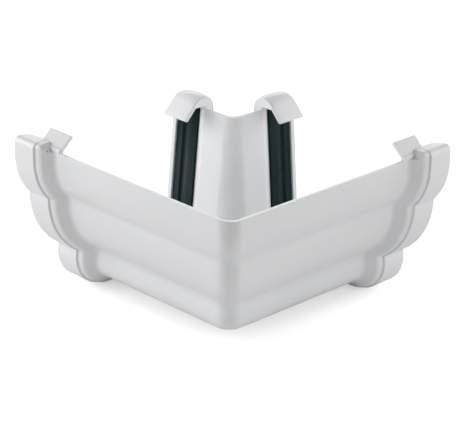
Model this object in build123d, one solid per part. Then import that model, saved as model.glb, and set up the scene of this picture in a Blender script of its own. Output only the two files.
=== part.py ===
"""Gutter external angle: one ogee moulding with two sockets, and a rubber seal in each socket.

Frame: the origin is at the building's corner, level with the lowest face. The right arm runs along +X
and the left arm along +Y, so the outer corner of the gutter points to -X and -Y. +Z is up.
A section is drawn with d, the distance out from the fascia, and z, the height.
An arm is drawn along its length with t, the distance in from its mouth, and n, the distance
out from the outer face of the trough.
"""
from build123d import *
from math import atan2, cos, degrees, hypot, radians, sin, tan
import os

# Trough
trough_width = 110.0
front_rim_height = 90.6
back_rim_height = 90.2
wall = 2.3
back_wall_lean = 5.0
back_floor_radius = 9.0

# Ogee front: three bulging lobes, each with its radius and how far its centre stands in from the front
top_lobe_radius = 28.0
top_lobe_centre_drop = 6.6
middle_lobe_radius = 35.7
middle_lobe_inset = 45.2
middle_lobe_centre_height = 60.0
bottom_lobe_radius = 12.9
bottom_lobe_inset = 41.6

# Corner of the two arms
mouth_reach = 49.0
outer_corner_radius = 8.5
inner_corner_radius = 5.0

# Sockets
socket_offset = 5.5
band_rise = 1.1
band_length = 16.0
band_slope_length = 0.6
band_crease_radius = 1.0
shoulder_start = 21.0
shoulder_length = 10.0
shoulder_ease_length = 3.0
shoulder_ease_drop = 0.9
mouth_lip_length = 3.0
seal_bed_length = 16.2
inner_shoulder_length = 8.5
gutter_clearance = 0.6

# Front flange of a socket, bent inward over the front rim of the gutter
flange_rim_gap = 0.4
flange_overhang = 2.7
flange_bend_radius = 0.1
flange_corner_radius = 8.5

# Clips
clip_thickness = 2.2
front_clip_start = 12.5
front_clip_width = 16.2
front_clip_length = 7.6
front_clip_root = 2.0
front_clip_angle = 42.0
back_clip_start = 10.4
back_clip_width = 18.4
back_clip_behind = 4.4
back_clip_root_depth = 10.0
back_clip_height = 6.9
back_clip_rear_radius = 6.5
back_clip_crest_radius = 11.8
back_clip_crest_flat = 0.3
back_clip_reach = 10.1
back_clip_drop = 10.5

# Seals
seal_base = 1.5
seal_rib_height = 1.5
seal_rib_pitch = 5.4
seal_clearance = 0.05
seal_rim_gap = 1.5

# Working lengths: how far cuts run past a face, how far arms enter the corner, and what counts as touching
overrun = 4.0
corner_entry = 5.0
union_tolerance = 0.001

arm_length = trough_width + mouth_reach
band_offset = socket_offset + band_rise
step_fillet = band_offset + band_crease_radius
seal_bed = socket_offset - wall
shoulder_end = shoulder_start + shoulder_length
seal_bed_end = mouth_lip_length + seal_bed_length
stop_end = seal_bed_end + inner_shoulder_length
floor_height = band_offset
flange_inner_edge = trough_width - flange_overhang
flange_underside = front_rim_height + flange_rim_gap
flange_top = flange_underside + band_offset - seal_bed
top_lobe_centre = (trough_width - top_lobe_radius, front_rim_height - top_lobe_centre_drop)
middle_lobe_centre = (trough_width - middle_lobe_inset, middle_lobe_centre_height)
bottom_lobe_centre = (trough_width - bottom_lobe_inset, floor_height + bottom_lobe_radius)
corner_edge = corner_entry - bottom_lobe_centre[0]
section_plane = Plane(origin=(mouth_reach, 0, 0), x_dir=(0, 1, 0), z_dir=(1, 0, 0))
mitre_plane = Plane(origin=(0, 0, 0), z_dir=(1, -1, 0))


def step_centre(upper, upper_radius, lower, lower_radius):
    """Centre of the hollow fillet that rolls against two lobes from the outside."""
    reach_a = upper_radius + step_fillet
    reach_b = lower_radius + step_fillet
    across = (upper[0] - lower[0], upper[1] - lower[1])
    gap = hypot(*across)
    along = (reach_b ** 2 - reach_a ** 2 + gap ** 2) / (2 * gap)
    side = (reach_b ** 2 - along ** 2) ** 0.5
    unit = (across[0] / gap, across[1] / gap)
    return (lower[0] + along * unit[0] + side * unit[1], lower[1] + along * unit[1] - side * unit[0])


upper_step = step_centre(top_lobe_centre, top_lobe_radius, middle_lobe_centre, middle_lobe_radius)
lower_step = step_centre(middle_lobe_centre, middle_lobe_radius, bottom_lobe_centre, bottom_lobe_radius)


def heading(start, end):
    """Angle of the line between two points of the section, in degrees."""
    return degrees(atan2(end[1] - start[1], end[0] - start[0]))


def bend(centre, radius, from_angle, to_angle):
    """Arc of the section about a centre."""
    points = []
    for angle in (from_angle, (from_angle + to_angle) / 2, to_angle):
        turn = radians(angle)
        points.append((-(centre[0] + radius * cos(turn)), centre[1] + radius * sin(turn)))
    return ThreePointArc(*points)


def front_edges(offset, top):
    """Ogee front from the floor up to the height of its top, pushed out by an offset."""
    low_angle = heading(bottom_lobe_centre, lower_step)
    mid_low = heading(middle_lobe_centre, lower_step)
    mid_high = heading(middle_lobe_centre, upper_step)
    high_angle = heading(top_lobe_centre, upper_step)
    front = trough_width + offset
    return [
        bend(bottom_lobe_centre, bottom_lobe_radius + offset, -90, low_angle),
        bend(lower_step, step_fillet - offset, low_angle + 180, mid_low + 180),
        bend(middle_lobe_centre, middle_lobe_radius + offset, mid_low, mid_high),
        bend(upper_step, step_fillet - offset, mid_high + 180, high_angle + 180),
        bend(top_lobe_centre, top_lobe_radius + offset, high_angle, 0),
        Line((-front, top_lobe_centre[1]), (-front, top)),
    ]


def back_edges(offset, top, floor_end=bottom_lobe_centre[0]):
    """Leaning back wall from its top down, the bend at its foot and the floor."""
    lean = radians(back_wall_lean)
    radius = back_floor_radius + offset
    centre_height = floor_height + back_floor_radius
    face_out = (back_rim_height - centre_height) * tan(lean) + back_floor_radius / cos(lean)
    centre = (face_out, centre_height)
    touch = (centre[0] - radius * cos(lean), centre[1] - radius * sin(lean))
    rise = top - touch[1]
    start = (touch[0] - rise * tan(lean), top)
    floor = floor_height - offset
    return [
        Line((-start[0], start[1]), (-touch[0], touch[1])),
        bend(centre, radius, 180 + back_wall_lean, 270),
        Line((-centre[0], floor), (-floor_end, floor)),
    ]


def shoulder_slopes():
    """Shoulder from the socket down to the trough: a gentle slope, a steep one and a gentle one."""
    points = [
        (shoulder_start, socket_offset),
        (shoulder_start + shoulder_ease_length, socket_offset - shoulder_ease_drop),
        (shoulder_end - shoulder_ease_length, shoulder_ease_drop),
        (shoulder_end, 0),
    ]
    return [Line(*ends) for ends in zip(points, points[1:])]


def block(x_range, y_range, z_range):
    """Box between two corners."""
    size = [high - low for low, high in (x_range, y_range, z_range)]
    return Pos(x_range[0], y_range[0], z_range[0]) * Box(*size, align=Align.MIN)


def arm_profile():
    """Wall of an arm along its length, in t and n: socket, shoulder and trough."""
    far = arm_length + overrun
    band_inner = band_length + band_slope_length
    edges = [
        Line((0, gutter_clearance), (0, band_offset)),
        Line((0, band_offset), (band_length, band_offset)),
        Line((band_length, band_offset), (band_inner, socket_offset)),
        Line((band_inner, socket_offset), (shoulder_start, socket_offset)),
        *shoulder_slopes(),
        Line((shoulder_end, 0), (far, 0)),
        Line((far, 0), (far, -wall)),
        Line((far, -wall), (stop_end, -wall)),
        Line((stop_end, -wall), (seal_bed_end, seal_bed)),
        Line((seal_bed_end, seal_bed), (mouth_lip_length, seal_bed)),
        Line((mouth_lip_length, seal_bed), (mouth_lip_length, gutter_clearance)),
        Line((mouth_lip_length, gutter_clearance), (0, gutter_clearance)),
    ]
    return make_face(edges)


def swept_arm():
    """Arm swept from its back rim, under the floor and up the ogee front to its rim."""
    path = section_plane * Wire(back_edges(0, back_rim_height + overrun) + front_edges(0, front_rim_height))
    start = Plane(origin=path @ 0, x_dir=(-1, 0, 0), z_dir=path % 0)
    arm = sweep(start * arm_profile(), path=path)
    above_rim = (back_rim_height, 2 * back_rim_height)
    return arm - block((-arm_length, arm_length), (-trough_width / 2, trough_width), above_rim)


def front_flange():
    """Top of a socket, bent inward over the front rim of the gutter, with a round corner at the mouth."""
    face_out = trough_width + seal_bed
    bend_out = face_out - flange_bend_radius
    bend_up = flange_underside - flange_bend_radius
    path = section_plane * Wire([
        Line((-face_out, top_lobe_centre[1]), (-face_out, bend_up)),
        bend((bend_out, bend_up), flange_bend_radius, 0, 90),
        Line((-bend_out, flange_underside), (-flange_inner_edge, flange_underside)),
    ])
    start = Plane(origin=path @ 0, x_dir=(-1, 0, 0), z_dir=path % 0)
    above = Rectangle(4 * arm_length, band_offset, align=(Align.CENTER, Align.MIN))
    kept = arm_profile() & (Pos(0, seal_bed) * above)
    flange = sweep(start * (Pos(0, -seal_bed) * kept), path=path)
    round_centre = (mouth_reach - flange_corner_radius, -flange_inner_edge - flange_corner_radius)
    square = block((round_centre[0], arm_length), (round_centre[1], 0), (bend_up, 2 * bend_up))
    return flange - (square - Pos(*round_centre) * Cylinder(flange_corner_radius, 4 * bend_up))


def right_arm():
    """One arm with its socket, cut clear of the corner."""
    far = 2 * arm_length
    over_corner = block((-far, inner_corner_radius), (corner_edge, far), (-overrun, far))
    return split_at_rounding(swept_arm() - over_corner, Keep.TOP) + front_flange()


def split_at_rounding(shape, side):
    """Part of a shape on one side of the upright plane where the corner's rounding meets the right arm."""
    tangent = Plane(origin=(outer_corner_radius, 0, 0), z_dir=(1, -1, 0))
    return split(shape, bisect_by=tangent, keep=side)


def square_plan(offset):
    """Plan of the two arms as far as their fronts, before its outer corner is worked."""
    out = trough_width + offset
    return Pos(-out, -out) * Rectangle(2 * out, 2 * out, align=Align.MIN)


def outermost(plan):
    """Corner of a plan that points away from the building."""
    return plan.vertices().group_by(Axis.X)[0].group_by(Axis.Y)[0]


def corner_core(plan, offset, top):
    """Solid inside one face of the outer corner, made by sliding its plan down the mitre of the two arms."""
    upright = Plane(origin=(0, 0, 0), x_dir=(1, 0, 0), z_dir=(0, -1, 0))
    section = upright * Wire(front_edges(offset, top))
    mitre = scale(section, by=(2 ** 0.5, 1, 1)).rotate(Axis.Z, 45)
    path = Wire([edge.reversed() for edge in mitre.edges()][::-1])
    return sweep(Pos(0, 0, top) * plan, path=path, normal=(0, 0, 1))


def outer_corner():
    """Ogee corner where the two arms meet: round outside, with one flat inside at the wall's thickness."""
    rounded = fillet(outermost(square_plan(0)), outer_corner_radius)
    flattened = chamfer(outermost(square_plan(-wall)), (outer_corner_radius - wall) * (2 - 2 ** 0.5))
    side = (-2 * trough_width, corner_edge + outer_corner_radius)
    cell = block(side, side, (-overrun, 2 * arm_length))
    outside = corner_core(rounded, 0, front_rim_height) & cell
    shell = outside - corner_core(flattened, -wall, front_rim_height + overrun)
    half = split_at_rounding(shell, Keep.BOTTOM)
    return mirror(split_at_rounding(mirror(half, about=mitre_plane), Keep.BOTTOM), about=mitre_plane)


def inner_corner():
    """Back wall turned round the building's corner, and the floor between it and the outer corner."""
    turned_out = -corner_edge - corner_entry
    outer = back_edges(0, back_rim_height, turned_out)
    inner = back_edges(-wall, back_rim_height, turned_out)
    closing = [Line(outer[0] @ 0, inner[0] @ 0), Line(outer[-1] @ 1, inner[-1] @ 1)]
    centre_plane = Plane(origin=(inner_corner_radius, 0, 0), x_dir=(0, 1, 0), z_dir=(1, 0, 0))
    profile = centre_plane * make_face(outer + inner + closing)
    pivot = Axis((inner_corner_radius, inner_corner_radius, 0), (0, 0, -1))
    turned = revolve(profile, axis=pivot, revolution_arc=90)
    reach = (corner_edge, inner_corner_radius)
    floor = block(reach, reach, (floor_height, floor_height + wall))
    hub_radius = inner_corner_radius + turned_out - corner_entry
    hub = Pos(inner_corner_radius, inner_corner_radius) * Cylinder(hub_radius, 4 * trough_width)
    return turned + (floor - hub)


def along_arm(outline, start, width):
    """Outline drawn in a section, carried along the right arm from a distance in from its mouth."""
    return Pos(-start, 0, 0) * extrude(section_plane * outline, -width)


def front_clip():
    """Tab that leans inward and up from the inner edge of the front flange."""
    turn = radians(front_clip_angle)
    upward = (-cos(turn), sin(turn))
    under = (-sin(turn) * clip_thickness, -cos(turn) * clip_thickness)
    edge = (flange_inner_edge, flange_top - band_rise / 2)
    ends = (-front_clip_root, front_clip_length)
    corners = []
    for along, below in ((ends[0], 0), (ends[1], 0), (ends[1], 1), (ends[0], 1)):
        out = edge[0] + along * upward[0] + below * under[0]
        corners.append((-out, edge[1] + along * upward[1] + below * under[1]))
    return along_arm(make_face(Polyline(*corners, close=True)), front_clip_start, front_clip_width)


def back_clip():
    """Strap that rises behind the back wall, arches over it and slants down into the trough."""
    crest = back_rim_height + back_clip_height
    half_slope = atan2(back_clip_drop, back_clip_reach) / 2
    crest_length = back_clip_rear_radius + back_clip_crest_flat + back_clip_crest_radius * tan(half_slope)
    crest_end = crest_length - back_clip_behind
    line = FilletPolyline(
        (back_clip_behind, back_rim_height - back_clip_root_depth),
        (back_clip_behind, crest),
        (-crest_end, crest),
        (-crest_end - back_clip_reach, crest - back_clip_drop),
        radius=[back_clip_rear_radius, back_clip_crest_radius],
    )
    strap = make_face(Wire(line.edges()).offset_2d(clip_thickness, side=Side.LEFT))
    bed_top = back_rim_height - seal_rim_gap / 2
    bed = Pos(seal_bed, bed_top) * Rectangle(seal_bed + wall, bed_top, align=Align.MAX)
    return along_arm(strap - bed, back_clip_start, back_clip_width)


def seal_profile():
    """Ribbed strip across the seal's bed, in t and n."""
    start = mouth_lip_length + seal_clearance
    end = seal_bed_end - seal_clearance
    back = seal_bed - seal_clearance
    face = back - seal_base
    crest = face - seal_rib_height
    count = round((end - start) / seal_rib_pitch)
    pitch = (end - start) / count
    points = [(start, back), (start, face)]
    for rib in range(count):
        left = start + rib * pitch
        points += [(left + pitch / 2, crest), (left + pitch, face)]
    points.append((end, back))
    return make_face(Polyline(*points, close=True))


def socket_seal():
    """Seal that lines the right socket from its back rim to its front flange."""
    edges = back_edges(0, back_rim_height - seal_rim_gap) + front_edges(0, front_rim_height - seal_rim_gap)
    path = section_plane * Wire(edges)
    start = Plane(origin=path @ 0, x_dir=(-1, 0, 0), z_dir=path % 0)
    return sweep(start * seal_profile(), path=path)


def angle_moulding():
    """The whole white moulding."""
    arm = right_arm() + front_clip() + back_clip()
    pieces = (mirror(arm, about=mitre_plane), outer_corner(), inner_corner())
    return arm.fuse(*pieces, tol=union_tolerance).clean()


if __name__ == "__main__":
    os.makedirs("parts", exist_ok=True)
    seal = socket_seal()
    nodes = {
        "angle_moulding": angle_moulding(),
        "left_socket_seal": mirror(seal, about=mitre_plane),
        "right_socket_seal": seal,
    }
    for name, shape in nodes.items():
        shape.label = name
        export_step(shape, f"parts/{name}.step")
        print(name, shape.is_valid, len(shape.solids()), round(shape.volume), shape.bounding_box())
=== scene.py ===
"""Gutter external angle: the finished look of the moulding and its two seals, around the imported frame.

The right arm runs along +X and the left arm along +Y, from the building's corner at the origin.
A section is drawn with d, the distance out from the fascia, and z, the height, both in millimetres.
Along an arm, t is the distance in from its mouth and n the distance out from the trough's outer face.
"""
import math

import bmesh
import bpy
import numpy as np
from mathutils import Matrix, Vector


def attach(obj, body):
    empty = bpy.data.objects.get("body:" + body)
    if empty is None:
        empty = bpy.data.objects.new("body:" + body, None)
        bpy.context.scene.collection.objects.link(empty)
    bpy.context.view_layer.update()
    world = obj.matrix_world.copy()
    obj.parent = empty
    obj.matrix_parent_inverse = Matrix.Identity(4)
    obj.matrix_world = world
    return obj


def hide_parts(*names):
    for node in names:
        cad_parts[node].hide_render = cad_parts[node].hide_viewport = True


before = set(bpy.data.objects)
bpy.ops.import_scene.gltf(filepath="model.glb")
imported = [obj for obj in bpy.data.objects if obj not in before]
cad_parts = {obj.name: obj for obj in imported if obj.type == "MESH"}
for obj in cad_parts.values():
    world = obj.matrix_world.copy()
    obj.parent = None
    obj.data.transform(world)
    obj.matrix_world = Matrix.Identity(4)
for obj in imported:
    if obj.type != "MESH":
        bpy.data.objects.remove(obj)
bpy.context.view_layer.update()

MM = 0.001
QUARTER = math.pi / 2

# Trough
TROUGH_WIDTH = 110.0
FRONT_RIM = 90.6
BACK_RIM = 90.2
WALL = 2.3
BACK_LEAN = math.radians(5.0)
BACK_FLOOR_RADIUS = 9.0
TOP_LOBE = ((82.0, 84.0), 28.0)
MIDDLE_LOBE = ((64.8, 60.0), 35.7)
BOTTOM_LOBE = ((68.4, 19.5), 12.9)
STEP_FILLET = 7.6
FLOOR = 6.6
FLOOR_SHARES = (0.25, 0.5, 0.75)
BEND_STEPS = 12
BOTTOM_LOBE_STEPS = 16
MIDDLE_LOBE_STEPS = 20
TOP_LOBE_STEPS = 18
FILLET_STEPS = 10

# Corner and sockets
MOUTH = 49.0
OUTER_CORNER = 8.5
INNER_CORNER = 5.0
SOCKET = 5.5
BAND = 6.6
BAND_LENGTH = 16.0
BAND_SLOPE = 0.6
BAND_CREASE = 0.35
BAND_EDGE = 0.3
SHOULDER_TOP = 20.3
SHOULDER_FOOT = 26.6
SHOULDER_ROUNDING = 4.5
SHOULDER_STEPS = 9
ARM_START = 32.0
MOUTH_EDGE = 0.6
MOUTH_EDGE_STEPS = 4
LIP_EDGE = 0.35
EDGE_STEPS = 3
MOUTH_LIP = 3.0
SEAL_BED = 3.2
SEAL_BED_END = 19.2
STOP_END = 27.7
STOP_ROUNDING = 2.5
STOP_STEPS = 6
INNER_RUN = 4.0
GUTTER_GAP = 0.6

# Flange over the gutter's front rim
FLANGE_UNDERSIDE = 91.0
FLANGE_EDGE = 107.3
FLANGE_BEND = 0.1
FLANGE_CORNER = 8.5
FLANGE_BEND_ROWS = 8
FLANGE_TOP_ROWS = 10
CORNER_FADE_START = 1.0
CORNER_FADE_END = BAND_LENGTH - 1.0
BAND_FADE = 0.8

# Clips
CLIP = 2.2
CLIP_EDGE = 0.45
FRONT_CLIP_START = 12.5
FRONT_CLIP_WIDTH = 17.3
FRONT_CLIP_LENGTH = 8.05
FRONT_CLIP_ROOT = 2.0
FRONT_CLIP_DROP = 0.15
FRONT_CLIP_FOOT = 90.85
FRONT_CLIP_ANGLE = math.radians(42.0)
RIM_STOP_START = 19.6
RIM_STOP_LENGTH = 10.1
RIM_STOP_INNER = 106.8
RIM_STOP_OUTER = 109.9
RIM_STOP_FOOT = 90.1
RIM_STOP_TOP = 92.9
RIM_STOP_ROUNDING = 1.3
RIM_STOP_STEPS = 8
BACK_CLIP_START = 10.4
BACK_CLIP_WIDTH = 18.4
BACK_CLIP_BEHIND = 4.4
BACK_CLIP_ROOT = 10.0
BACK_CLIP_CREST = 97.1
BACK_CLIP_REAR_RADIUS = 6.5
BACK_CLIP_CREST_RADIUS = 11.8
BACK_CLIP_FLAT = 0.3
BACK_CLIP_REACH = 10.1
BACK_CLIP_DROP = 10.5
BACK_CLIP_HEEL = 89.45
BACK_CLIP_IN_WALL = 3.6
BACK_CLIP_ROUNDING = 0.75
BACK_CLIP_TIP = 0.95
BACK_CLIP_BULGE = 1.3
BACK_CLIP_BULGE_TURN = 0.85 * math.pi
STRAP_STEPS = 14
TIP_STEPS = 5
CLIP_STEPS = 12
CLIP_END_STEPS = 5
WEB_THICKNESS = 3.6
WEB_RECESS = 0.05
WEB_FOOT = 88.3
WEB_FACE = 2.2
WEB_LEDGE = 91.9

# Seals
SEAL_CLEARANCE = 0.05
SEAL_RIM_GAP = 1.5
SEAL_BASE = 1.35
SEAL_RIPPLE = 0.07
SEAL_RIPPLE_PITCH = 1.15
SEAL_POINTS = 112
NARROW_LIP = {"foot": 6.4, "crest": 8.1, "back": 8.7, "heel": 10.4, "height": 1.5}
BROAD_LIP = {"foot": 11.4, "crest": 13.0, "back": 14.0, "heel": 21.5, "height": 1.35}

# Finish of the moulding's edges
RIM_ROUNDING = 0.3
RIM_STEPS = 3
CORNER_STEPS = 14
SUPPORT = 0.4
SHARP = math.radians(32.0)
MERGE = 1e-4

# Materials
PLASTIC_TONES = ((0.845, 0.85, 0.862), (0.872, 0.876, 0.886))
PLASTIC_ROUGHNESS = 0.3
PLASTIC_FLOW = 0.00004
PLASTIC_GRAIN = 0.000006
RUBBER_TONES = ((0.0015, 0.0125, 0.014), (0.005, 0.023, 0.0255))
RUBBER_ROUGHNESS = 0.55
RUBBER_SPECULAR = 0.2
RUBBER_GRAIN = 0.00003
FLOOR_TONE = (0.9, 0.9, 0.9, 1)
WHITE = (1, 1, 1, 1)


def arc(centre, radius, start, end, count, side=1.0):
    """Points and outward normals of an arc of the section; side -1 is a hollow one."""
    rows = []
    for i in range(count + 1):
        turn = math.radians(start + (end - start) * i / count)
        out = (math.cos(turn), math.sin(turn))
        rows.append((centre[0] + radius * out[0], centre[1] + radius * out[1], side * out[0], side * out[1]))
    return rows


def heading(start, end):
    return math.degrees(math.atan2(end[1] - start[1], end[0] - start[0]))


def step_centre(upper, lower):
    """Centre of the hollow fillet between two lobes."""
    (ux, uz), upper_radius = upper
    (lx, lz), lower_radius = lower
    reach_a, reach_b = upper_radius + STEP_FILLET, lower_radius + STEP_FILLET
    gap = math.hypot(ux - lx, uz - lz)
    along = (reach_b ** 2 - reach_a ** 2 + gap ** 2) / (2 * gap)
    side = math.sqrt(reach_b ** 2 - along ** 2)
    unit = ((ux - lx) / gap, (uz - lz) / gap)
    return lx + along * unit[0] + side * unit[1], lz + along * unit[1] - side * unit[0]


class Section:
    """The trough's outer line from the back rim to the front rim, with its normals."""

    def __init__(self):
        centre_z = FLOOR + BACK_FLOOR_RADIUS
        centre_d = (BACK_RIM - centre_z) * math.tan(BACK_LEAN) + BACK_FLOOR_RADIUS / math.cos(BACK_LEAN)
        rows = [(0.0, BACK_RIM, -1 / math.cos(BACK_LEAN), 0.0)]
        rows += arc((centre_d, centre_z), BACK_FLOOR_RADIUS, 180 + math.degrees(BACK_LEAN), 270, BEND_STEPS)
        self.bend_end = len(rows) - 1
        floor_start = rows[-1][0]
        floor_end = BOTTOM_LOBE[0][0]
        for share in FLOOR_SHARES:
            rows.append((floor_start + share * (floor_end - floor_start), FLOOR, 0.0, -1.0))
        self.floor_end = len(rows)
        low_step = step_centre(MIDDLE_LOBE, BOTTOM_LOBE)
        high_step = step_centre(TOP_LOBE, MIDDLE_LOBE)
        low = heading(BOTTOM_LOBE[0], low_step)
        mid_low = heading(MIDDLE_LOBE[0], low_step)
        mid_high = heading(MIDDLE_LOBE[0], high_step)
        high = heading(TOP_LOBE[0], high_step)
        rows += arc(*BOTTOM_LOBE, -90, low, BOTTOM_LOBE_STEPS)
        rows += arc(low_step, STEP_FILLET, low + 180, mid_low + 180, FILLET_STEPS, -1.0)[1:]
        rows += arc(*MIDDLE_LOBE, mid_low, mid_high, MIDDLE_LOBE_STEPS)[1:]
        rows += arc(high_step, STEP_FILLET, mid_high + 180, high + 180, FILLET_STEPS, -1.0)[1:]
        rows += arc(*TOP_LOBE, high, 0, TOP_LOBE_STEPS)[1:]
        rows.append((TROUGH_WIDTH, FRONT_RIM, 1.0, 0.0))
        data = np.array(rows)
        self.points, self.normals = data[:, :2], data[:, 2:]
        self.count = len(rows)
        turned = np.zeros(self.count)
        turned[: self.bend_end + 1] = 1.0
        span = self.floor_end - self.bend_end
        for i in range(1, span):
            turned[self.bend_end + i] = 1.0 - i / span
        self.turned = turned

    def at(self, row, n):
        """Distance out and height of a row's point, pushed out by n, and its rounding in plan."""
        d, z = self.points[row] + n * self.normals[row]
        share = self.turned[row]
        return d, z, share * (d + INNER_CORNER) + (1 - share) * (OUTER_CORNER + n)


def rounded_line(corners):
    """Open line through corners given as (t, n, radius, steps), each turned with an arc."""
    points = [corners[0][:2]]
    for before, (t, n, radius, steps), after in zip(corners, corners[1:], corners[2:]):
        here = Vector((t, n))
        back = (Vector(before[:2]) - here).normalized()
        ahead = (Vector(after[:2]) - here).normalized()
        if radius == 0:
            points.append((t, n))
            continue
        half = back.angle(ahead) / 2
        centre = here + (back + ahead).normalized() * radius / math.sin(half)
        first = here + back * radius / math.tan(half) - centre
        last = here + ahead * radius / math.tan(half) - centre
        sweep = first.angle_signed(last)
        for i in range(steps + 1):
            turned = first.copy()
            turned.rotate(Matrix.Rotation(-sweep * i / steps, 2))
            points.append(tuple(centre + turned))
    points.append(corners[-1][:2])
    return points


def rounded_outline(corners):
    """Closed outline with every corner turned with its own radius, anticlockwise."""
    line = []
    for i, corner in enumerate(corners):
        line += rounded_line([corners[i - 1], corner, corners[(i + 1) % len(corners)]])[1:-1]
    area = sum(a[0] * b[1] - b[0] * a[1] for a, b in zip(line, line[1:] + line[:1]))
    return line if area > 0 else line[::-1]


def arm_profile():
    """Wall of an arm in t and n, from the trough's outer face round the mouth to its inner face."""
    return rounded_line([
        (ARM_START, 0.0),
        (SHOULDER_FOOT, 0.0, SHOULDER_ROUNDING, SHOULDER_STEPS),
        (SHOULDER_TOP, SOCKET, SHOULDER_ROUNDING, SHOULDER_STEPS),
        (BAND_LENGTH + BAND_SLOPE, SOCKET, BAND_CREASE, EDGE_STEPS),
        (BAND_LENGTH, BAND, BAND_EDGE, EDGE_STEPS),
        (0.0, BAND, MOUTH_EDGE, MOUTH_EDGE_STEPS),
        (0.0, SEAL_BED, 0.0, 0),
        (0.0, GUTTER_GAP, LIP_EDGE, EDGE_STEPS),
        (MOUTH_LIP, GUTTER_GAP, LIP_EDGE, EDGE_STEPS),
        (MOUTH_LIP, SEAL_BED, 0.0, 0),
        (SEAL_BED_END, SEAL_BED, 0.0, 0),
        (STOP_END, -WALL, STOP_ROUNDING, STOP_STEPS),
        (STOP_END + INNER_RUN, -WALL),
    ])


def with_split(profile, level):
    """The profile with a point added where its outer side first crosses a level of n."""
    for i, (a, b) in enumerate(zip(profile, profile[1:])):
        if a[1] < level < b[1]:
            share = (level - a[1]) / (b[1] - a[1])
            return profile[: i + 1] + [(a[0] + share * (b[0] - a[0]), level)] + profile[i + 1:], i + 1
    raise ValueError("the profile never crosses that level")


def inward(points, closed=False):
    """Unit normals on the left-hand side of a line, averaged at its points."""
    p = np.array(points, float)
    if closed:
        step = np.roll(p, -1, 0) - p
        step /= np.linalg.norm(step, axis=1)[:, None]
        tangent = step + np.roll(step, 1, 0)
    else:
        step = np.diff(p, axis=0)
        step /= np.linalg.norm(step, axis=1)[:, None]
        tangent = np.vstack([step[:1], step[:-1] + step[1:], step[-1:]])
    tangent /= np.linalg.norm(tangent, axis=1)[:, None]
    return np.stack([-tangent[:, 1], tangent[:, 0]], 1)


def rounding_steps(radius=RIM_ROUNDING, steps=RIM_STEPS):
    """Inset and fall of each row that rounds an edge, from the flat side to the edge's end."""
    turns = [QUARTER * i / steps for i in range(steps + 1)]
    return [(radius * (1 - math.cos(a)), radius * (1 - math.sin(a))) for a in turns]


class Skin:
    """A mesh in the making: points in millimetres, and faces between their numbers."""

    def __init__(self):
        self.points, self.faces = [], []

    def add(self, point):
        self.points.append(point)
        return len(self.points) - 1

    def grid(self, rows, closed=False):
        """Quads between rows of point numbers."""
        for low, high in zip(rows, rows[1:]):
            for k in range(len(low) if closed else len(low) - 1):
                m = (k + 1) % len(low)
                self.faces.append((low[k], low[m], high[m], high[k]))

    def mesh(self, name):
        """A closed mesh in metres, with its faces pointing outwards."""
        shape = bmesh.new()
        made = [shape.verts.new([c * MM for c in p]) for p in self.points]
        for face in self.faces:
            loop = [made[i] for i in dict.fromkeys(face)]
            if len(loop) > 2:
                shape.faces.new(loop)
        bmesh.ops.remove_doubles(shape, verts=shape.verts, dist=MERGE * MM)
        bmesh.ops.dissolve_degenerate(shape, edges=shape.edges, dist=MERGE * MM)
        return outward(shape, bpy.data.meshes.new(name))


def outward(shape, data):
    """A closed shape put in a mesh, with its faces pointing outwards."""
    bmesh.ops.recalc_face_normals(shape, faces=shape.faces)
    if shape.calc_volume(signed=True) < 0:
        bmesh.ops.reverse_faces(shape, faces=shape.faces)
    shape.to_mesh(data)
    shape.free()
    return data


def on_arm(side, t, d, z):
    """A point of the right or the left arm."""
    return (MOUTH - t, -d, z) if side == "right" else (-d, MOUTH - t, z)


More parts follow.
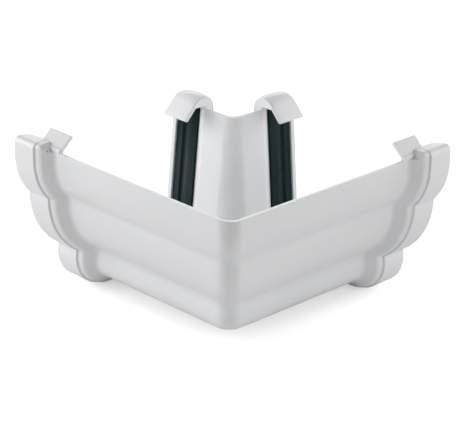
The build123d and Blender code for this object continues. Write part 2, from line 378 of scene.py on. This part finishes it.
def moulding_body():
    """Trough, corner, sockets and flanges as one closed mesh."""
    section = Section()
    skin = Skin()
    profile, split = with_split(arm_profile(), SEAL_BED)
    normals = inward(profile)
    mouth_face = profile.index((0.0, SEAL_BED))
    bed_start = profile.index((MOUTH_LIP, SEAL_BED))
    bed_end = profile.index((SEAL_BED_END, SEAL_BED))
    turns = [QUARTER * i / CORNER_STEPS for i in range(CORNER_STEPS + 1)]

    def eased(i):
        """How far a point's front rim is rounded: not at all where the shell runs on into the flange."""
        if mouth_face < i < bed_start:
            return (SEAL_BED - profile[i][1]) / (SEAL_BED - GUTTER_GAP)
        if i < split or i > bed_end:
            return min(1.0, abs(SEAL_BED - profile[i][1]))
        return 0.0

    def corner_row(row, n, lift):
        """Points round the corner, with one more a little way along each arm."""
        d, z, rounding = section.at(row, n)
        centre = rounding - d
        round_points = [(centre - rounding * math.sin(a), centre - rounding * math.cos(a)) for a in turns]
        line = [(centre + SUPPORT, centre - rounding), *round_points, (centre - rounding, centre + SUPPORT)]
        return [skin.add((x, y, z + lift)) for x, y in line]

    def ring(row, inset=0.0, lift=0.0, whole=True):
        """One closed row round the wall, drawn in by an inset."""
        parts = {}
        for side in ("right", "left"):
            parts[side] = []
            for i, ((t, n), (nt, nn)) in enumerate(zip(profile, normals)):
                ease = inset if whole else inset * eased(i)
                d, z = section.at(row, n + nn * ease)[:2]
                parts[side].append(skin.add(on_arm(side, t + nt * ease, d, z + lift)))
        parts["inner"] = corner_row(row, inset - WALL, lift)
        parts["outer"] = corner_row(row, -inset, lift)
        return parts

    top = section.count - 1
    rings = [ring(0, inset, -fall) for inset, fall in reversed(rounding_steps())]
    rings += [ring(row) for row in range(1, top)]
    rings += [ring(top, inset, -fall, whole=False) for inset, fall in rounding_steps()]
    loops = [p["right"] + p["inner"] + p["left"][::-1] + p["outer"][::-1] for p in rings]
    skin.grid(loops, closed=True)
    skin.faces.append(tuple(loops[0]))
    rim = rings[-1]
    skin.faces.append(tuple(
        rim["right"][bed_end:] + rim["inner"] + rim["left"][bed_end:][::-1]
        + rim["left"][: split + 1][::-1] + rim["outer"][::-1] + rim["right"][: split + 1]
    ))
    for side in ("right", "left"):
        skin.faces.append(tuple(rim[side][mouth_face: bed_start + 1]))
        flange(skin, side, profile[split: mouth_face + 1], rim[side][split: mouth_face + 1],
               rim[side][bed_start: bed_end + 1])
    return skin.mesh("moulding_body")


def flange(skin, side, stations, rim, bed):
    """Top of a socket, bent inward over the gutter's rim, on from the wall's rim."""
    bend_out = TROUGH_WIDTH + SEAL_BED - FLANGE_BEND
    bend_up = FLANGE_UNDERSIDE - FLANGE_BEND
    round_out = FLANGE_EDGE + FLANGE_CORNER

    def at(t, out, up):
        """A point of the flange, drawn in from the mouth by its round corner in plan."""
        beyond = max(0.0, round_out - out)
        near = FLANGE_CORNER - math.sqrt(max(0.0, FLANGE_CORNER ** 2 - beyond ** 2))
        left = (CORNER_FADE_END - t) / (CORNER_FADE_END - CORNER_FADE_START)
        return skin.add(on_arm(side, t + near * min(1.0, max(0.0, left)), out, up))

    def faded(n, share):
        """Level of a station; round the bend the socket rises to the band, so that its step runs out."""
        wall_share = min(1.0, (n - SEAL_BED) / (SOCKET - SEAL_BED))
        return n + (BAND - max(n, SOCKET)) * wall_share * BAND_FADE * share

    rows = [rim]
    for step in range(FLANGE_BEND_ROWS + 1):
        turn = QUARTER * step / FLANGE_BEND_ROWS
        row = []
        for t, n in stations:
            radius = FLANGE_BEND + faded(n, step / FLANGE_BEND_ROWS) - SEAL_BED
            row.append(at(t, bend_out + radius * math.cos(turn), bend_up + radius * math.sin(turn)))
        rows.append(row)
    first = math.asin((round_out - bend_out) / FLANGE_CORNER)
    for step in range(1, FLANGE_TOP_ROWS + 1):
        out = round_out - FLANGE_CORNER * math.sin(first + (QUARTER - first) * step / FLANGE_TOP_ROWS)
        rows.append([at(t, out, FLANGE_UNDERSIDE - SEAL_BED + faded(n, 1.0)) for t, n in stations])
    skin.grid(rows)
    skin.faces.append(tuple(rows[-1]))
    skin.faces.append((rim[-1], *bed, rim[0], rows[1][0], rows[1][-1]))
    for low, high in zip(rows[1:], rows[2:]):
        skin.faces.append((low[-1], low[0], high[0], high[-1]))


def clip_mesh(name, corners, start, width, rounding=RIM_ROUNDING, arched=False):
    """An outline in d and z carried along the right arm, with rounded ends."""
    skin = Skin()
    outline = rounded_outline(corners)
    normals = inward(outline, closed=True)
    first = [(start + fall, inset) for inset, fall in reversed(rounding_steps())]
    last = [(start + width - fall, inset) for inset, fall in rounding_steps(rounding, CLIP_END_STEPS)]
    near, far = first[-1][0], last[0][0]
    between = [(near + (far - near) * i / CLIP_STEPS, 0.0) for i in range(1, CLIP_STEPS)]

    def place(t, inset, point, normal):
        """A point of the row at t; the thin leg behind the wall takes only the small rounding."""
        d, z = point
        if d < 0 and z <= BACK_CLIP_HEEL:
            inset = min(inset, RIM_ROUNDING)
        lift = crest_lift(t, z) if arched else 0.0
        return skin.add(on_arm("right", t, d + normal[0] * inset, z + normal[1] * inset + lift))

    rows = [
        [place(t, inset, point, normal) for point, normal in zip(outline, normals)]
        for t, inset in first + between + last
    ]
    skin.grid(rows, closed=True)
    skin.faces += [tuple(rows[0]), tuple(rows[-1])]
    return skin.mesh(name)


def crest_lift(t, z):
    """How far the back clip's crest bulges up along its width; nothing at its tip and its leg."""
    share = (t - BACK_CLIP_START) / BACK_CLIP_WIDTH
    height = (z - BACK_CLIP_HEEL) / (BACK_CLIP_CREST - BACK_CLIP_HEEL)
    return BACK_CLIP_BULGE * math.sin(BACK_CLIP_BULGE_TURN * share) * min(1.0, max(0.0, height))


def front_clip():
    """Tab that leans inward and up from the flange's inner edge."""
    lean = Vector((-math.cos(FRONT_CLIP_ANGLE), math.sin(FRONT_CLIP_ANGLE)))
    under = Vector((-lean.y, lean.x)) * CLIP
    flange_middle = FLANGE_UNDERSIDE - SEAL_BED + (BAND + SOCKET) / 2
    edge = Vector((FLANGE_EDGE, flange_middle - FRONT_CLIP_DROP))
    root, end = edge - FRONT_CLIP_ROOT * lean, edge + FRONT_CLIP_LENGTH * lean
    foot = root + under + (FRONT_CLIP_FOOT - root.y - under.y) / lean.y * lean
    corners = [(*p, CLIP_EDGE, EDGE_STEPS) for p in (root, end, end + under)]
    corners += [(*foot, 0.0, 0), (root.x, FRONT_CLIP_FOOT, CLIP_EDGE, EDGE_STEPS)]
    return clip_mesh("front_clip", corners, FRONT_CLIP_START, FRONT_CLIP_WIDTH)


def rim_stop():
    """Ridge on the front rim that closes the flange's slot at its corner-side end and carries the tab."""
    corners = [
        (RIM_STOP_INNER, RIM_STOP_FOOT, 0.0, 0),
        (RIM_STOP_INNER, RIM_STOP_TOP, CLIP_EDGE, EDGE_STEPS),
        (RIM_STOP_OUTER, RIM_STOP_TOP, RIM_STOP_ROUNDING, RIM_STOP_STEPS),
        (RIM_STOP_OUTER, RIM_STOP_FOOT, 0.0, 0),
    ]
    return clip_mesh("rim_stop", corners, RIM_STOP_START, RIM_STOP_LENGTH)


def strap_line(depth):
    """Rear, crest and tip corners of the back clip's strap, at a depth below its outer face."""
    slope = math.atan2(BACK_CLIP_DROP, BACK_CLIP_REACH)
    crest_length = BACK_CLIP_REAR_RADIUS + BACK_CLIP_FLAT + BACK_CLIP_CREST_RADIUS * math.tan(slope / 2)
    crest = crest_length - BACK_CLIP_BEHIND
    top = BACK_CLIP_CREST - depth
    tip_out = crest + BACK_CLIP_REACH - depth * math.sin(slope)
    tip_up = BACK_CLIP_CREST - BACK_CLIP_DROP - depth * math.cos(slope)
    return [
        (depth - BACK_CLIP_BEHIND, top, BACK_CLIP_REAR_RADIUS - depth, STRAP_STEPS),
        (crest - depth * math.tan(slope / 2), top, BACK_CLIP_CREST_RADIUS - depth, STRAP_STEPS),
        (tip_out, tip_up, BACK_CLIP_TIP, TIP_STEPS),
    ]


def back_clip():
    """Strap that rises behind the back wall, arches over it and slants down into the trough."""
    foot = BACK_RIM - BACK_CLIP_ROOT
    corners = [
        (-BACK_CLIP_BEHIND, foot, 0.0, 0),
        (-BACK_CLIP_BEHIND, BACK_CLIP_HEEL, 0.0, 0),
        *strap_line(0.0),
        *reversed(strap_line(CLIP)),
        (CLIP - BACK_CLIP_BEHIND, BACK_CLIP_HEEL, 0.0, 0),
        (-BACK_CLIP_IN_WALL, BACK_CLIP_HEEL, 0.0, 0),
        (-BACK_CLIP_IN_WALL, foot, 0.0, 0),
    ]
    return clip_mesh("back_clip", corners, BACK_CLIP_START, BACK_CLIP_WIDTH, BACK_CLIP_ROUNDING, arched=True)


def back_clip_web():
    """Web that closes the arch of the back clip at its corner-side end and stands on the wall's rim."""
    rear, crest, tip = strap_line(CLIP / 2)
    slant = (tip[0] - crest[0]) / (crest[1] - tip[1])
    corners = [
        (rear[0], WEB_FOOT, 0.0, 0),
        rear,
        crest,
        (crest[0] + slant * (crest[1] - WEB_LEDGE), WEB_LEDGE, 0.0, 0),
        (WEB_FACE, WEB_LEDGE, 0.0, 0),
        (WEB_FACE, WEB_FOOT, 0.0, 0),
    ]
    end = BACK_CLIP_START + BACK_CLIP_WIDTH - WEB_RECESS
    return clip_mesh("back_clip_web", corners, end - WEB_THICKNESS, WEB_THICKNESS, arched=True)


def mirrored(data):
    """Copy of a right-hand mesh on the left arm."""
    shape = bmesh.new()
    shape.from_mesh(data)
    for v in shape.verts:
        v.co.x, v.co.y = v.co.y, v.co.x
    copy = bpy.data.meshes.new(data.name + "_left")
    for material in data.materials:
        copy.materials.append(material)
    return outward(shape, copy)


def linked(name, data):
    piece = bpy.data.objects.new(name, data)
    bpy.context.scene.collection.objects.link(piece)
    return piece


def settled(piece):
    """The piece with its modifiers made part of its mesh."""
    bpy.context.view_layer.update()
    made = bpy.data.meshes.new_from_object(piece.evaluated_get(bpy.context.evaluated_depsgraph_get()))
    piece.modifiers.clear()
    piece.data = made
    return piece


def united(body, others):
    """Body joined with the other closed meshes into one closed mesh."""
    piece = linked("corner_moulding", body)
    for data in others:
        tool = linked("tool", data)
        join = piece.modifiers.new("join", "BOOLEAN")
        join.operation = "UNION"
        join.solver = "MANIFOLD"
        join.object = tool
        settled(piece)
        bpy.data.objects.remove(tool)
    return piece


def smoothed(piece):
    """Smooth faces with crisp edges past a set angle, and flat faces left flat beside small roundings."""
    piece.data.shade_smooth()
    piece.data.set_sharp_from_angle(angle=SHARP)
    evened = piece.modifiers.new("evened", "WEIGHTED_NORMAL")
    evened.keep_sharp = True
    return settled(piece)


class Wire:
    """A socket of a node tree that sums can be written with."""

    def __init__(self, bench, socket):
        self.bench, self.socket = bench, socket

    def out(self, name):
        """Another output of the same node."""
        return Wire(self.bench, self.socket.node.outputs[name])

    def sum(self, operation, first, second):
        return self.bench.add("ShaderNodeMath", {"operation": operation}, {0: first, 1: second})

    def __add__(self, other):
        return self.sum("ADD", self, other)

    def __radd__(self, other):
        return self.sum("ADD", other, self)

    def __sub__(self, other):
        return self.sum("SUBTRACT", self, other)

    def __rsub__(self, other):
        return self.sum("SUBTRACT", other, self)

    def __mul__(self, other):
        return self.sum("MULTIPLY", self, other)

    def __rmul__(self, other):
        return self.sum("MULTIPLY", other, self)

    def __truediv__(self, other):
        return self.sum("DIVIDE", self, other)

    def __lt__(self, other):
        return self.sum("LESS_THAN", self, other)


class Bench:
    """A node tree in the making."""

    def __init__(self, tree):
        self.tree = tree

    def add(self, kind, settings=None, sockets=None):
        """A new node with its settings, then the values or links of its sockets."""
        node = self.tree.nodes.new(kind)
        for name, value in (settings or {}).items():
            setattr(node, name, value)
        for name, value in (sockets or {}).items():
            if isinstance(value, Wire):
                self.tree.links.new(value.socket, node.inputs[name])
            else:
                node.inputs[name].default_value = value
        return Wire(self, node.outputs[0]) if node.outputs else node


def seal_tree():
    """Nodes that carry a lipped seal's outline along a line, with its sizes as named inputs in metres."""
    tree = bpy.data.node_groups.new("lipped_seal", "GeometryNodeTree")
    bench = Bench(tree)
    tree.interface.new_socket("Line", in_out="INPUT", socket_type="NodeSocketGeometry")
    sizes = ["Start", "End", "Back", "Base", "Ripple", "Ripple Pitch"]
    for lip in ("Narrow", "Broad"):
        sizes += [f"{lip} {part}" for part in ("Foot", "Crest", "Back", "Heel", "Height")]
    for name in sizes:
        tree.interface.new_socket(name, in_out="INPUT", socket_type="NodeSocketFloat")
    tree.interface.new_socket("Points", in_out="INPUT", socket_type="NodeSocketInt")
    tree.interface.new_socket("Rubber", in_out="INPUT", socket_type="NodeSocketMaterial")
    tree.interface.new_socket("Seal", in_out="OUTPUT", socket_type="NodeSocketGeometry")
    given = bench.add("NodeGroupInput")
    size = given.out

    index = bench.add("GeometryNodeInputIndex")
    across = size("Start") + (size("End") - size("Start")) * (index / (size("Points") - 1))

    def ramp(low, high):
        return bench.add("ShaderNodeMapRange", {"interpolation_type": "SMOOTHSTEP"},
                         {"Value": across, "From Min": low, "From Max": high})

    thickness = size("Base")
    for lip in ("Narrow", "Broad"):
        rise = ramp(size(f"{lip} Foot"), size(f"{lip} Crest"))
        fall = 1 - ramp(size(f"{lip} Back"), size(f"{lip} Heel"))
        thickness = thickness + size(f"{lip} Height") * rise * fall
    turned = across / size("Ripple Pitch") * (2 * math.pi)
    wave = bench.add("ShaderNodeMath", {"operation": "COSINE"}, {0: turned})
    thickness = thickness + size("Ripple") * wave

    def chosen(test, no, yes):
        return bench.add("GeometryNodeSwitch", {"input_type": "FLOAT"},
                         {"Switch": test, "False": no, "True": yes})

    on_face = index < size("Points")
    first_back = index < size("Points") + 1
    along = chosen(on_face, chosen(first_back, size("Start"), size("End")), across)
    depth = size("Back") - chosen(on_face, 0.0, thickness)
    place = bench.add("ShaderNodeCombineXYZ", sockets={"X": 0 - along, "Y": 0 - depth})
    points = bench.add("GeometryNodeMeshLine", sockets={"Count": size("Points") + 2})
    outline = bench.add("GeometryNodeSetPosition", sockets={"Geometry": points, "Position": place})
    outline = bench.add("GeometryNodeMeshToCurve", sockets={"Mesh": outline})
    outline = bench.add("GeometryNodeSetSplineCyclic", sockets={"Geometry": outline, "Cyclic": True})
    line = bench.add("GeometryNodeMeshToCurve", sockets={"Mesh": size("Line")})
    line = bench.add("GeometryNodeSetCurveNormal", {"mode": "FREE"}, {"Curve": line, "Normal": (1, 0, 0)})
    strip = bench.add("GeometryNodeCurveToMesh", sockets={
        "Curve": line, "Profile Curve": outline, "Fill Caps": True,
    })
    strip = bench.add("GeometryNodeRealizeInstances", sockets={"Geometry": strip})
    strip = bench.add("GeometryNodeSetMaterial", sockets={"Geometry": strip, "Material": size("Rubber")})
    bench.add("NodeGroupOutput", sockets={"Seal": strip})
    return tree


def right_seal(rubber):
    """Lipped rubber strip in the right socket's bed, from rim to rim."""
    section = Section()
    line = [tuple(p) for p in section.points]
    line[0] = (SEAL_RIM_GAP * math.tan(BACK_LEAN), BACK_RIM - SEAL_RIM_GAP)
    line[-1] = (TROUGH_WIDTH, FRONT_RIM - SEAL_RIM_GAP)
    edges = [(i, i + 1) for i in range(len(line) - 1)]
    data = bpy.data.meshes.new("seal_line")
    data.from_pydata([(MOUTH * MM, -d * MM, z * MM) for d, z in line], edges, [])
    piece = linked("right_seal", data)
    tree = seal_tree()
    sizes = {
        "Start": MOUTH_LIP + SEAL_CLEARANCE,
        "End": SEAL_BED_END - SEAL_CLEARANCE,
        "Back": SEAL_BED - SEAL_CLEARANCE,
        "Base": SEAL_BASE,
        "Ripple": SEAL_RIPPLE,
        "Ripple Pitch": SEAL_RIPPLE_PITCH,
    }
    for lip, shape in (("Narrow", NARROW_LIP), ("Broad", BROAD_LIP)):
        sizes.update({f"{lip} {part.title()}": value for part, value in shape.items()})
    values = {name: value * MM for name, value in sizes.items()}
    values.update({"Points": SEAL_POINTS, "Rubber": rubber})
    swept = piece.modifiers.new("swept", "NODES")
    swept.node_group = tree
    for socket in tree.interface.items_tree:
        if socket.in_out == "INPUT" and socket.name in values:
            swept[socket.identifier] = values[socket.name]
    settled(piece)
    shape = bmesh.new()
    shape.from_mesh(piece.data)
    bmesh.ops.remove_doubles(shape, verts=shape.verts, dist=MERGE * MM)
    outward(shape, piece.data)
    return smoothed(piece)


def fresh_material(name):
    """An empty material and its bench."""
    material = bpy.data.materials.new(name)
    material.use_nodes = True
    material.node_tree.nodes.clear()
    return material, Bench(material.node_tree)


def noise(bench, place, scale, detail, roughness=0.5):
    return bench.add("ShaderNodeTexNoise", sockets={
        "Vector": place, "Scale": scale, "Detail": detail, "Roughness": roughness,
    })


def blend(bench, share, first, second):
    """A colour between two others."""
    mixed = bench.add("ShaderNodeMix", {"data_type": "RGBA"}, {0: share})
    node = mixed.socket.node
    node.inputs[6].default_value, node.inputs[7].default_value = (*first, 1), (*second, 1)
    return Wire(bench, node.outputs[2])


def moulded_white():
    """Gloss white plastic: nearly even, with faint flow waves, a fine grain and a few dull patches."""
    material, bench = fresh_material("gloss_white_plastic")
    place = bench.add("ShaderNodeTexCoord").out("Object")
    cloud = noise(bench, place, 26, 3)
    flow = noise(bench, place, 60, 2)
    grain = noise(bench, place, 2600, 3, 0.6)
    height = PLASTIC_FLOW * flow + PLASTIC_GRAIN * grain
    shader = bench.add("ShaderNodeBsdfPrincipled", sockets={
        "Base Color": blend(bench, cloud, *PLASTIC_TONES),
        "Roughness": PLASTIC_ROUGHNESS + 0.08 * (cloud - 0.5) + 0.05 * (grain - 0.5),
        "Normal": bench.add("ShaderNodeBump", sockets={"Strength": 0.5, "Distance": 1.0, "Height": height}),
    })
    bench.add("ShaderNodeOutputMaterial", sockets={"Surface": shader})
    return material


def seal_rubber():
    """Green-black rubber with a fine matt grain and a faint pale bloom."""
    material, bench = fresh_material("green_black_rubber")
    place = bench.add("ShaderNodeTexCoord").out("Object")
    bloom = noise(bench, place, 90, 4, 0.6)
    grain = noise(bench, place, 3200, 3, 0.6)
    height = RUBBER_GRAIN * grain
    shader = bench.add("ShaderNodeBsdfPrincipled", sockets={
        "Base Color": blend(bench, bloom, *RUBBER_TONES),
        "Roughness": RUBBER_ROUGHNESS + 0.12 * (bloom - 0.5) + 0.1 * (grain - 0.5),
        "Specular IOR Level": RUBBER_SPECULAR,
        "Normal": bench.add("ShaderNodeBump", sockets={"Strength": 0.6, "Distance": 1.0, "Height": height}),
    })
    bench.add("ShaderNodeOutputMaterial", sockets={"Surface": shader})
    return material


def floor_white():
    """White floor that looks as pale as the background and keeps the object's shadow."""
    material, bench = fresh_material("studio_floor")
    matt = bench.add("ShaderNodeBsdfDiffuse", sockets={"Color": FLOOR_TONE})
    glow = bench.add("ShaderNodeEmission", sockets={"Color": WHITE, "Strength": FLOOR_GLOW})
    seen = bench.add("ShaderNodeAddShader", sockets={0: matt, 1: glow})
    camera_ray = bench.add("ShaderNodeLightPath").out("Is Camera Ray")
    shown = bench.add("ShaderNodeMixShader", sockets={0: camera_ray, 1: matt, 2: seen})
    bench.add("ShaderNodeOutputMaterial", sockets={"Surface": shown})
    return material


def studio_world():
    """White background for the eye and for reflections, and a level of plain light for the rest."""
    world = bpy.data.worlds.new("studio")
    world.use_nodes = True
    world.node_tree.nodes.clear()
    bench = Bench(world.node_tree)
    path = bench.add("ShaderNodeLightPath")
    seen = path.out("Is Camera Ray") + path.out("Is Glossy Ray") + path.out("Is Transmission Ray")
    shown = bench.add("ShaderNodeMath", {"operation": "MINIMUM"}, {0: seen, 1: 1.0})
    light = bench.add("ShaderNodeBackground", sockets={
        "Color": WHITE, "Strength": AMBIENT + (1 - AMBIENT) * shown,
    })
    bench.add("ShaderNodeOutputWorld", sockets={"Surface": light})
    bpy.context.scene.world = world


def softbox(name, place, size, power):
    """Soft area lamp that looks at the middle of the fitting."""
    data = bpy.data.lights.new(name, "AREA")
    data.shape = "RECTANGLE"
    data.size, data.size_y = size
    data.energy = power
    lamp = bpy.data.objects.new(name, data)
    bpy.context.scene.collection.objects.link(lamp)
    aim = Vector(FITTING_MIDDLE) - Vector(place)
    lamp.rotation_euler = aim.to_track_quat("-Z", "Y").to_euler()
    lamp.location = place


def photo_camera():
    """Camera at the photograph's angle, solved from the fitting's own corners."""
    azimuth, elevation, roll = (math.radians(a) for a in CAMERA_ANGLES)
    flat = math.cos(elevation)
    forward = Vector((math.cos(azimuth) * flat, math.sin(azimuth) * flat, -math.sin(elevation)))
    level = Vector((math.sin(azimuth), -math.cos(azimuth), 0))
    upright = level.cross(forward)
    right = math.cos(roll) * level + math.sin(roll) * upright
    up = math.cos(roll) * upright - math.sin(roll) * level
    data = bpy.data.cameras.new("camera")
    data.sensor_width = SENSOR_WIDTH
    data.lens = FOCAL_PIXELS / PHOTO_WIDTH * SENSOR_WIDTH
    camera = bpy.data.objects.new("camera", data)
    bpy.context.scene.collection.objects.link(camera)
    turn = Matrix((right, up, -forward)).transposed().to_4x4()
    camera.matrix_world = Matrix.Translation(CAMERA_PLACE) @ turn
    bpy.context.scene.camera = camera


# Camera
PHOTO_WIDTH = 471
FOCAL_PIXELS = 2007.48
SENSOR_WIDTH = 36.0
CAMERA_ANGLES = (45.13, 22.44, 1.11)
CAMERA_PLACE = (-0.7425, -0.7490, 0.4687)

# Light
FITTING_MIDDLE = (-0.05, -0.05, 0.045)
FLOOR_GLOW = 0.5
FLOOR_HALF = 3.0
AMBIENT = 0.03
SOFTBOXES = (
    ("left_back_softbox", (-0.95, 0.75, 0.45), (0.9, 0.9), 8.3),
    ("left_low_softbox", (-1.2, 0.15, 0.3), (1.0, 0.5), 1.5),
    ("left_grazing_softbox", (-0.28, 1.25, 0.4), (0.5, 0.7), 8.8),
    ("right_wide_softbox", (0.6, -0.95, 0.5), (1.6, 0.9), 5.0),
    ("right_low_softbox", (0.15, -1.2, 0.3), (1.0, 0.5), 2.2),
    ("right_grazing_softbox", (1.25, -0.28, 0.4), (0.5, 0.7), 8.6),
    ("top_softbox", (0.15, 0.15, 1.25), (0.9, 0.9), 1.6),
    ("behind_softbox", (0.85, 0.85, 0.8), (0.7, 0.7), 2.6),
)

white, rubber = moulded_white(), seal_rubber()
clips = [front_clip(), rim_stop(), back_clip(), back_clip_web()]
moulding = smoothed(united(moulding_body(), clips + [mirrored(clip) for clip in clips]))
moulding.data.materials.clear()
moulding.data.materials.append(white)
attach(moulding, "root")
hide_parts("angle_moulding")

right = right_seal(rubber)
left = smoothed(linked("left_seal", mirrored(right.data)))
for seal, node in ((right, "right_socket_seal"), (left, "left_socket_seal")):
    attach(seal, "root")
    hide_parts(node)

bpy.context.scene.view_settings.view_transform = "Standard"
photo_camera()
studio_world()
for name, place, size, power in SOFTBOXES:
    softbox(name, place, size, power)

floor_data = bpy.data.meshes.new("floor")
floor_corners = [(-1, -1), (1, -1), (1, 1), (-1, 1)]
floor_data.from_pydata([(FLOOR_HALF * x, FLOOR_HALF * y, 0) for x, y in floor_corners], [], [(0, 1, 2, 3)])
floor_data.materials.append(floor_white())
linked("floor", floor_data)
